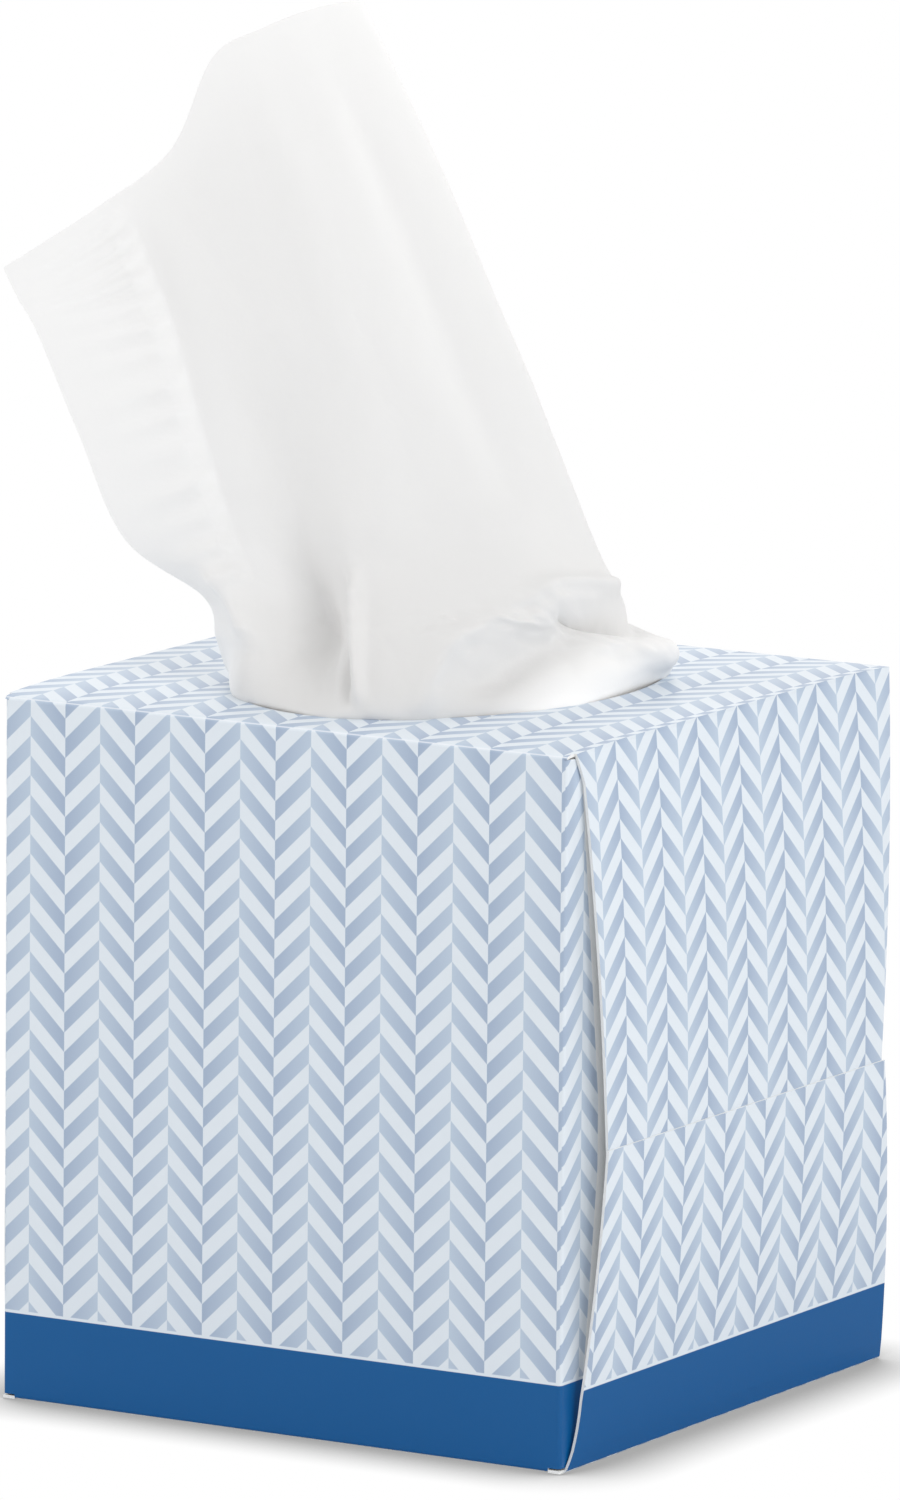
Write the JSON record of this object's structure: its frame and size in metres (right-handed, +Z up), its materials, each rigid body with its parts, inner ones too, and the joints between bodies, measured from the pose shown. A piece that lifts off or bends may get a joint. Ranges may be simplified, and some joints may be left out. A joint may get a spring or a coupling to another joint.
{
  "type": "tissue box",
  "caption": "Cube tissue box of folded printed board with an oval top opening, glued bowed end flaps, a folded pack of tissues inside and one tissue pulled up through the opening.",
  "frame": {"origin": "centre of the base, on the surface that the box stands on", "axes": "+Z up; the front panel faces -Y; the ends with the glued flaps face -X and +X"},
  "size_m": [0.1239, 0.11, 0.2383],
  "materials": {
    "printed_board": "satin printed board, pale blue and white herringbone over a dark blue band",
    "clear_film": "clear glossy film",
    "tissue_paper": "soft matte white two-ply tissue"
  },
  "bodies": {
    "root": {"carton": "printed_board", "film_window": "clear_film", "tissue_stack": "tissue_paper", "pulled_tissue": "tissue_paper"}
  },
  "joints": []
}
